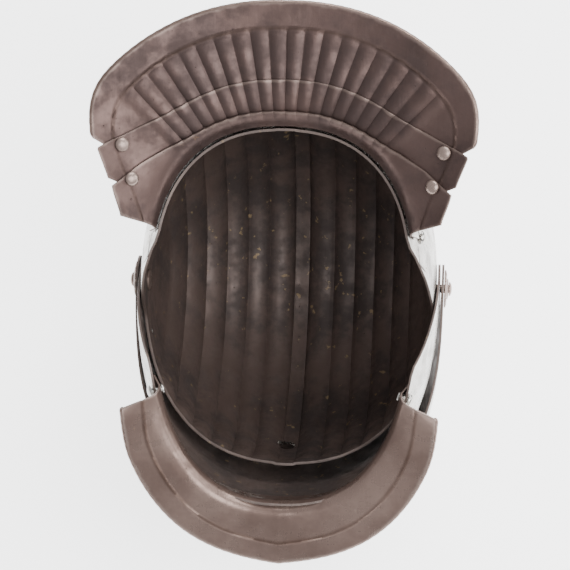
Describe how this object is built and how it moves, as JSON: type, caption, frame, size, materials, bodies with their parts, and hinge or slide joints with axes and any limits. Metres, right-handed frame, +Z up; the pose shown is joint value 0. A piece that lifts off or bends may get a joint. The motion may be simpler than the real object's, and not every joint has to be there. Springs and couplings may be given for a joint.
{
  "type": "close helmet",
  "caption": "Fluted steel close helmet lying on its comb and raised visor, with a bevor and visor that swing on side pivots and neck lames that tilt on their rivets.",
  "frame": {"origin": "centre of the bounding box's base, on the plane the helmet lies on", "axes": "+X to the wearer's right, +Y to the back of the helmet, +Z up, out of the neck opening"},
  "size_m": [0.2514, 0.3294, 0.307],
  "materials": {
    "bright_steel": "polished steel with fine scratches",
    "browned_steel": "steel darkened to a brown patina"
  },
  "bodies": {
    "helmet_skull": {"skull": "bright_steel", "neck_lame_upper": "browned_steel", "neck_rivet_upper_left": "bright_steel", "neck_rivet_upper_right": "bright_steel", "latch_stud": "bright_steel", "pivot_rosette_left": "bright_steel", "pivot_pin_left": "bright_steel", "pivot_rosette_right": "bright_steel", "pivot_pin_right": "bright_steel"},
    "middle_lame": {"neck_lame_middle": "browned_steel", "neck_rivet_lower_left": "bright_steel", "neck_rivet_lower_right": "bright_steel"},
    "lower_lame": {"neck_lame_lower": "browned_steel"},
    "face_bevor": {"bevor": "bright_steel", "gorget_rivet_left": "bright_steel", "gorget_rivet_right": "bright_steel"},
    "front_lame": {"gorget_lame": "browned_steel"},
    "face_visor": {"visor": "bright_steel"}
  },
  "joints": [
    {"name": "bevor_swing", "type": "hinge", "parent": "helmet_skull", "child": "face_bevor", "pos_m": [0, 0.03085, 0.13267], "axis": [1, 0, 0], "range_deg": [-50, 5]},
    {"name": "visor_swing", "type": "hinge", "parent": "face_bevor", "child": "face_visor", "pos_m": [0, 0.03085, 0.13267], "axis": [1, 0, 0], "range_deg": [0, 45]},
    {"name": "middle_lame_tilt", "type": "hinge", "parent": "helmet_skull", "child": "middle_lame", "pos_m": [0, 0.05298, 0.26721], "axis": [1, 0, 0], "range_deg": [-1, 1.5]},
    {"name": "lower_lame_tilt", "type": "hinge", "parent": "middle_lame", "child": "lower_lame", "pos_m": [0, 0.07242, 0.2782], "axis": [1, 0, 0], "range_deg": [-2, 1]},
    {"name": "front_lame_tilt", "type": "hinge", "parent": "face_bevor", "child": "front_lame", "pos_m": [0, -0.06226, 0.17252], "axis": [1, 0, 0], "range_deg": [-1.5, 1]}
  ]
}
